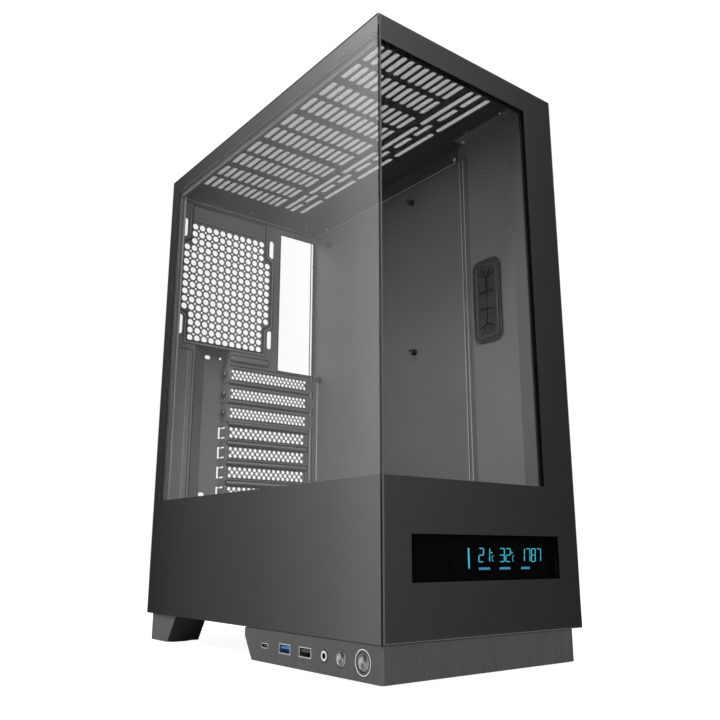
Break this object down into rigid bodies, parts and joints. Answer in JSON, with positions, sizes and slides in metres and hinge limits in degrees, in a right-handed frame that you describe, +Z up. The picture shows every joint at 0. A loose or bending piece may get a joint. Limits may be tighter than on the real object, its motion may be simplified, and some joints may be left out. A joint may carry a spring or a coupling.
{
  "type": "atx pc case",
  "caption": "Tall desktop computer case with dark glass front and side, a slim plinth with ports and a lit display, and a perforated steel rear.",
  "frame": {"origin": "on the floor, under the middle of the whole case's width and depth", "axes": "+X from the glass side to the steel side, +Y from the front glass to the rear, +Z up"},
  "size_m": [0.198, 0.35, 0.454],
  "materials": {
    "dark_steel": "fine textured black powder coat",
    "smoked_glass": "tinted tempered glass, polished",
    "brushed_plinth": "dark brushed grain",
    "black_plastic": "fine matt moulded texture",
    "filter_plastic": "fine nylon mesh in a matt frame",
    "rubber": "matt",
    "bright_metal": "bright nickel, lightly turned",
    "screw_steel": "black zinc",
    "brass": "turned",
    "blue_plastic": "smooth",
    "display_black": "gloss black window with lit figures",
    "clear_plastic": "clear light pipe",
    "board_black": "black solder mask"
  },
  "bodies": {
    "chassis": {"audio_jack": "black_plastic", "base_screws": "screw_steel", "bottom_pan": "dark_steel", "cable_grommet": "rubber", "catch_clips": "black_plastic", "drive_caddy_1": "black_plastic", "drive_caddy_2": "black_plastic", "drive_cage": "dark_steel", "foot_pads": "rubber", "front_frame": "dark_steel", "front_wall": "dark_steel", "light_pipe": "clear_plastic", "motherboard_tray": "dark_steel", "plinth": "brushed_plinth", "port_board": "board_black", "power_ring": "bright_metal", "psu_shroud": "dark_steel", "rear_foot_left": "black_plastic", "rear_foot_right": "black_plastic", "rear_panel": "dark_steel", "rivets": "screw_steel", "slot_cover_1": "dark_steel", "slot_cover_2": "dark_steel", "slot_cover_3": "dark_steel", "slot_screws": "screw_steel", "standoffs": "brass", "switch_board": "board_black", "switches": "black_plastic", "top_filter": "filter_plastic", "top_panel": "dark_steel", "usb_black_shell": "bright_metal", "usb_black_tongue": "black_plastic", "usb_blue_shell": "bright_metal", "usb_blue_tongue": "blue_plastic", "usb_c_shell": "bright_metal", "usb_c_tongue": "black_plastic"},
    "side_glass_panel": {"side_glass": "smoked_glass", "side_glass_frame": "dark_steel"},
    "front_glass_panel": {"front_glass": "smoked_glass", "front_glass_frame": "dark_steel", "display_window": "display_black", "display_housing": "black_plastic"},
    "steel_panel": {"steel_side_panel": "dark_steel"},
    "lower_screw": {"lower_thumbscrew": "screw_steel"},
    "upper_screw": {"upper_thumbscrew": "screw_steel"},
    "power": {"power_button": "bright_metal"},
    "reset": {"reset_button": "bright_metal"},
    "filter": {"bottom_filter": "filter_plastic"}
  },
  "joints": [
    {"name": "side_glass_pull", "type": "slide", "parent": "chassis", "child": "side_glass_panel", "axis": [-1, 0, 0], "range_m": [0, 0.012]},
    {"name": "front_glass_pull", "type": "slide", "parent": "chassis", "child": "front_glass_panel", "axis": [0, -1, 0], "range_m": [0, 0.012]},
    {"name": "steel_panel_slide", "type": "slide", "parent": "chassis", "child": "steel_panel", "axis": [0, 1, 0], "range_m": [0, 0.015]},
    {"name": "lower_screw_turn", "type": "hinge", "parent": "steel_panel", "child": "lower_screw", "pos_m": [0.0856, 0.163, 0.074], "axis": [0, 1, 0], "continuous": true},
    {"name": "upper_screw_turn", "type": "hinge", "parent": "steel_panel", "child": "upper_screw", "pos_m": [0.0856, 0.163, 0.404], "axis": [0, 1, 0], "continuous": true},
    {"name": "power_press", "type": "slide", "parent": "chassis", "child": "power", "axis": [1, 0, 0], "range_m": [0, 0.0015], "stiffness_N_per_m": 400},
    {"name": "reset_press", "type": "slide", "parent": "chassis", "child": "reset", "axis": [1, 0, 0], "range_m": [0, 0.0015], "stiffness_N_per_m": 400},
    {"name": "filter_slide", "type": "slide", "parent": "chassis", "child": "filter", "axis": [0, 1, 0], "range_m": [0, 0.142]}
  ]
}
